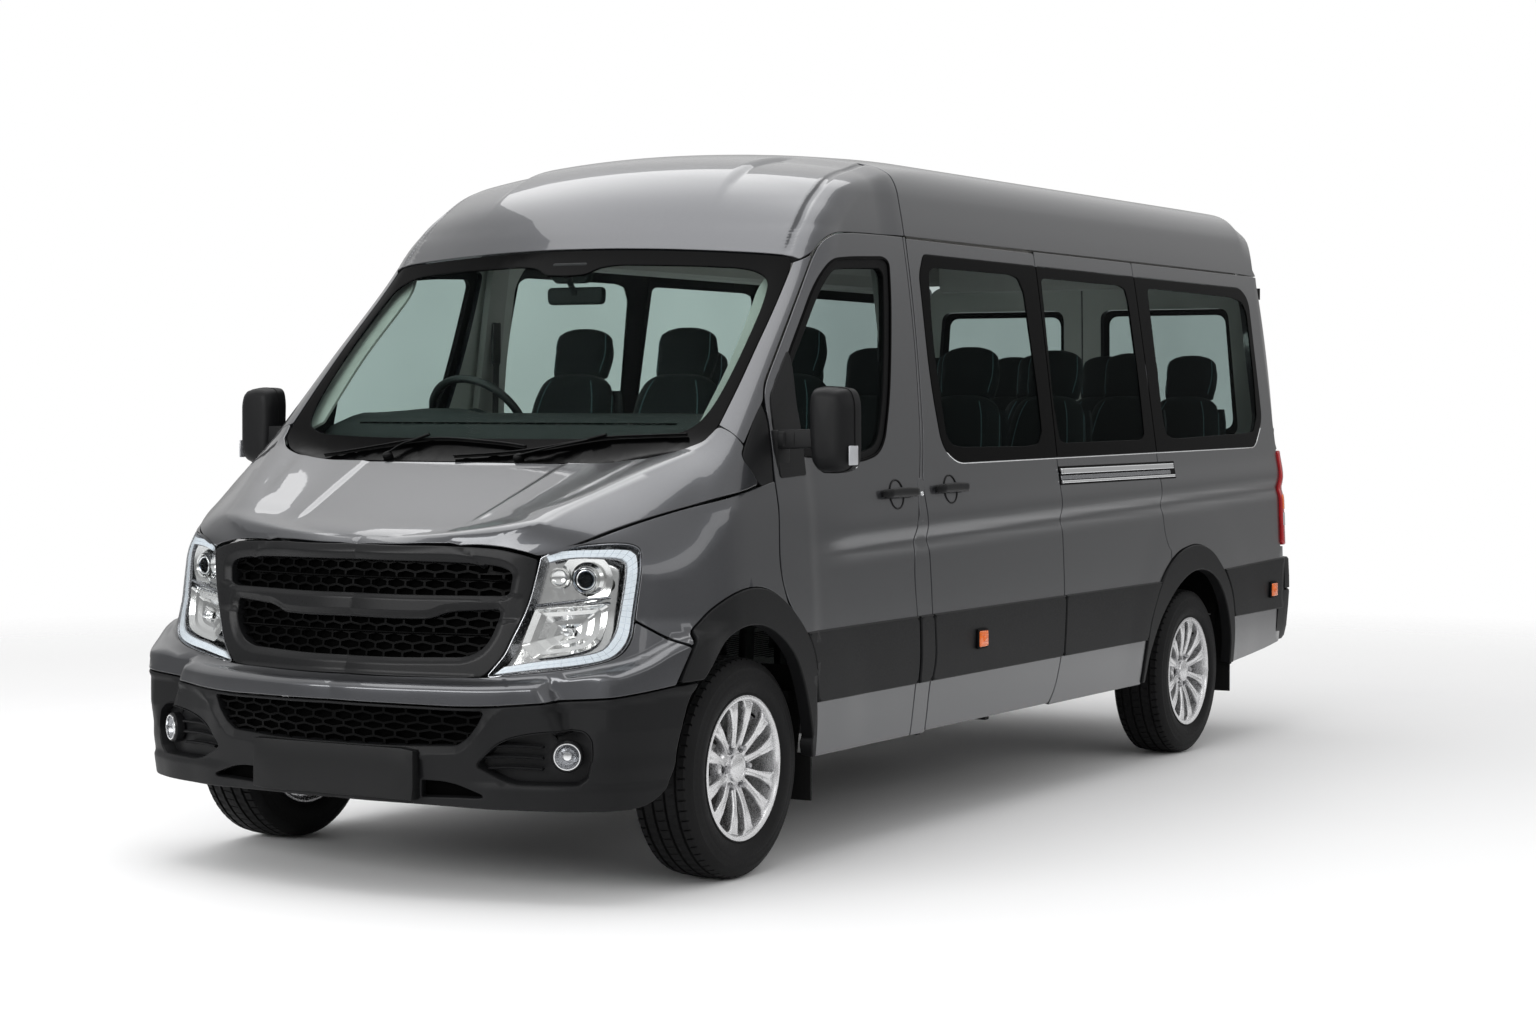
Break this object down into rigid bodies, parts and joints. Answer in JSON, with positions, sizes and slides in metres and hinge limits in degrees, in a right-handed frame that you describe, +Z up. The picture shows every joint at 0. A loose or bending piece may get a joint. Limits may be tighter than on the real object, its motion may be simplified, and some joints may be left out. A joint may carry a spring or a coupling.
{
  "type": "minibus",
  "caption": "High-roof passenger minibus with a steered front axle, rolling wheels, and hinged hood, front doors and rear doors around a hollow seated cabin.",
  "frame": {"origin": "on the ground under the middle of the bounding box", "axes": "+X forward (nose), +Y to the vehicle's left, +Z up"},
  "size_m": [5.83, 2.48, 2.4299],
  "materials": {
    "body_paint": "metallic gloss",
    "charcoal_plastic": "moulded matt",
    "clear_glass": "gloss",
    "dark_glass": "gloss",
    "seat_fabric": "woven",
    "chassis_black": "satin",
    "dash_plastic": "grained",
    "engine_metal": "cast",
    "steel": "satin",
    "tank_plastic": "moulded",
    "lamp_clear": "gloss",
    "cast_metal": "cast",
    "flap_rubber": "matt",
    "bright_trim": "polished",
    "lamp_red": "gloss",
    "tyre_rubber": "matt",
    "alloy": "painted silver"
  },
  "bodies": {
    "body": {"arch_trims": "charcoal_plastic", "body_side_left": "body_paint", "body_side_right": "body_paint", "bumper_upper": "body_paint", "cab_seats": "seat_fabric", "chassis_floor": "chassis_black", "dashboard": "dash_plastic", "engine_block": "engine_metal", "exhaust": "steel", "front_bumper": "charcoal_plastic", "front_fenders": "body_paint", "front_grille": "charcoal_plastic", "front_subframe": "chassis_black", "fuel_tank": "tank_plastic", "headlamps": "lamp_clear", "interior_mirror": "dash_plastic", "mudflaps": "flap_rubber", "passenger_seats": "seat_fabric", "rear_axle": "cast_metal", "rear_bumper": "charcoal_plastic", "roof": "body_paint", "roof_front": "body_paint", "side_glass": "dark_glass", "side_mouldings": "charcoal_plastic", "slide_rail_cover": "bright_trim", "sliding_door": "body_paint", "tail_lamps": "lamp_red", "windscreen": "clear_glass", "windscreen_frame": "body_paint", "wipers": "dash_plastic"},
    "hood": {"hood": "body_paint"},
    "front_door_left": {"front_door_left": "body_paint", "front_door_glass_left": "clear_glass", "door_mirror_left": "charcoal_plastic"},
    "front_door_right": {"front_door_right": "body_paint", "front_door_glass_right": "clear_glass", "door_mirror_right": "charcoal_plastic"},
    "rear_door_left": {"rear_door_left": "body_paint", "rear_door_glass_left": "dark_glass"},
    "rear_door_right": {"rear_door_right": "body_paint", "rear_door_glass_right": "dark_glass"},
    "knuckle_left": {"knuckle_left": "cast_metal"},
    "knuckle_right": {"knuckle_right": "cast_metal"},
    "steering_wheel": {"steering_wheel": "dash_plastic"},
    "front_wheel_left": {"tyre_front_left": "tyre_rubber", "wheel_front_left": "alloy"},
    "front_wheel_right": {"tyre_front_right": "tyre_rubber", "wheel_front_right": "alloy"},
    "rear_wheel_left": {"tyre_rear_left": "tyre_rubber", "wheel_rear_left": "alloy"},
    "rear_wheel_right": {"tyre_rear_right": "tyre_rubber", "wheel_rear_right": "alloy"}
  },
  "joints": [
    {"name": "hood_hinge", "type": "hinge", "parent": "body", "child": "hood", "pos_m": [1.95, 0, 1.43], "axis": [0, -1, 0], "range_deg": [0, 52]},
    {"name": "front_door_left_hinge", "type": "hinge", "parent": "body", "child": "front_door_left", "pos_m": [1.875, 1.02, 1], "axis": [0, 0, -1], "range_deg": [0, 68]},
    {"name": "front_door_right_hinge", "type": "hinge", "parent": "body", "child": "front_door_right", "pos_m": [1.875, -1.02, 1], "axis": [0, 0, 1], "range_deg": [0, 68]},
    {"name": "rear_door_left_hinge", "type": "hinge", "parent": "body", "child": "rear_door_left", "pos_m": [-2.83, 0.93, 1.3], "axis": [0, 0, -1], "range_deg": [0, 180]},
    {"name": "rear_door_right_hinge", "type": "hinge", "parent": "body", "child": "rear_door_right", "pos_m": [-2.83, -0.93, 1.3], "axis": [0, 0, 1], "range_deg": [0, 180]},
    {"name": "steer_left", "type": "hinge", "parent": "body", "child": "knuckle_left", "pos_m": [2.065, 0.735, 0.35], "axis": [0, 0, 1], "range_deg": [-35, 35]},
    {"name": "steer_right", "type": "hinge", "parent": "body", "child": "knuckle_right", "pos_m": [2.065, -0.735, 0.35], "axis": [0, 0, 1], "range_deg": [-35, 35]},
    {"name": "steering_wheel_turn", "type": "hinge", "parent": "body", "child": "steering_wheel", "pos_m": [1.5, -0.45, 1.42], "axis": [-0.8387, 0, 0.5446], "range_deg": [-510, 510]},
    {"name": "front_wheel_left_spin", "type": "hinge", "parent": "knuckle_left", "child": "front_wheel_left", "pos_m": [2.065, 0.867, 0.35], "axis": [0, 1, 0], "continuous": true},
    {"name": "front_wheel_right_spin", "type": "hinge", "parent": "knuckle_right", "child": "front_wheel_right", "pos_m": [2.065, -0.867, 0.35], "axis": [0, 1, 0], "continuous": true},
    {"name": "rear_wheel_left_spin", "type": "hinge", "parent": "body", "child": "rear_wheel_left", "pos_m": [-1.695, 0.867, 0.35], "axis": [0, 1, 0], "continuous": true},
    {"name": "rear_wheel_right_spin", "type": "hinge", "parent": "body", "child": "rear_wheel_right", "pos_m": [-1.695, -0.867, 0.35], "axis": [0, 1, 0], "continuous": true}
  ],
  "couplings": [
    {"joint": "steer_right", "follows": "steer_left", "ratio": 1},
    {"joint": "steering_wheel_turn", "follows": "steer_left", "ratio": 14.5}
  ]
}
